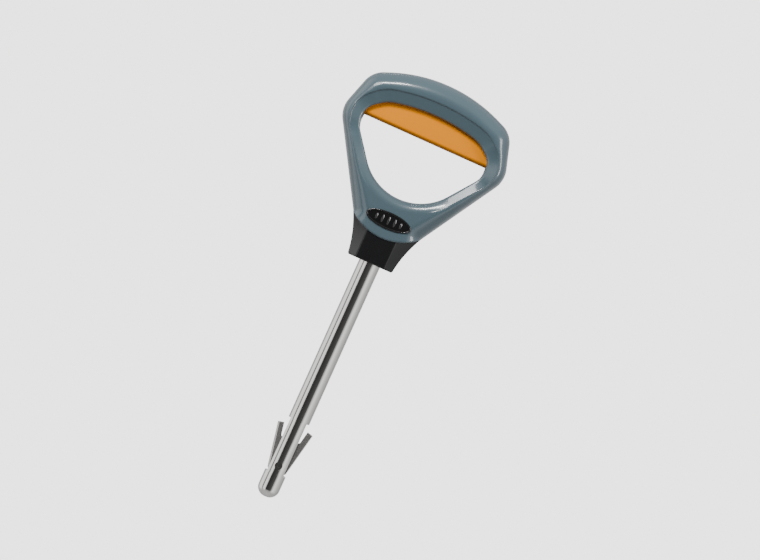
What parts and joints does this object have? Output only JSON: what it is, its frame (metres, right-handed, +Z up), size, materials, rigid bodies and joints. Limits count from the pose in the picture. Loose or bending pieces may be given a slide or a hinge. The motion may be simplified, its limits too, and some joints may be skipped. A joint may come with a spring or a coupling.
{
  "type": "hitch pin lock",
  "caption": "Straight hitch pin with a D-shaped pull handle, a finger trigger and two folding spring wings at the tip that hold it in its hole.",
  "frame": {"origin": "centre of the collar's underside, on the axis of the pin", "axes": "+Z up the pin towards the handle, -Y out of the badge side, +X to the right when looking at the badge"},
  "size_m": [0.099, 0.0256, 0.2538],
  "materials": {
    "handle_plastic": "moulded blue-grey plastic with a soft gloss",
    "trigger_plastic": "moulded orange plastic, satin",
    "collar_plastic": "moulded black plastic, glossy",
    "badge_plastic": "black plastic badge, glossy",
    "shank_plate": "bright nickel plate over turned steel",
    "wing_plate": "bright nickel plate over bent sheet steel",
    "rod_steel": "drawn steel, as machined",
    "strip_steel": "zinc-plated strip steel",
    "fastener_steel": "zinc-plated fastener steel",
    "spring_steel": "drawn spring wire",
    "bush_brass": "turned brass"
  },
  "bodies": {
    "handle": {"handle_front_shell": "handle_plastic", "handle_rear_shell": "handle_plastic", "badge_plate": "badge_plastic", "collar": "collar_plastic", "shell_screws": "fastener_steel", "pin_shank": "shank_plate", "shank_retaining_clip": "strip_steel", "rod_guide_bush": "bush_brass", "wing_pivot_pin": "shank_plate"},
    "trigger": {"trigger_grip": "trigger_plastic", "trigger_yoke": "strip_steel", "yoke_rivets": "fastener_steel", "pull_rod": "rod_steel", "rod_lock_washer": "fastener_steel", "rod_nut": "fastener_steel", "drive_pin": "rod_steel", "spring_seat_clip": "spring_steel", "return_spring": "spring_steel"},
    "left_wing": {"left_wing": "wing_plate"},
    "right_wing": {"right_wing": "wing_plate"}
  },
  "joints": [
    {"name": "trigger_slide", "type": "slide", "parent": "handle", "child": "trigger", "axis": [0, 0, 1], "range_m": [0, 0.006], "stiffness_N_per_m": 900, "springref_m": -0.006, "deforming": ["return_spring"]},
    {"name": "left_wing_fold", "type": "hinge", "parent": "handle", "child": "left_wing", "pos_m": [0, 0, -0.1247], "axis": [0, 1, 0], "range_deg": [0, 11.05]},
    {"name": "right_wing_fold", "type": "hinge", "parent": "handle", "child": "right_wing", "pos_m": [0, 0, -0.1247], "axis": [0, -1, 0], "range_deg": [0, 11.05]}
  ],
  "couplings": [
    {"joint": "left_wing_fold", "follows": "trigger_slide", "rad_per_m": 31.998},
    {"joint": "right_wing_fold", "follows": "trigger_slide", "rad_per_m": 31.998}
  ]
}
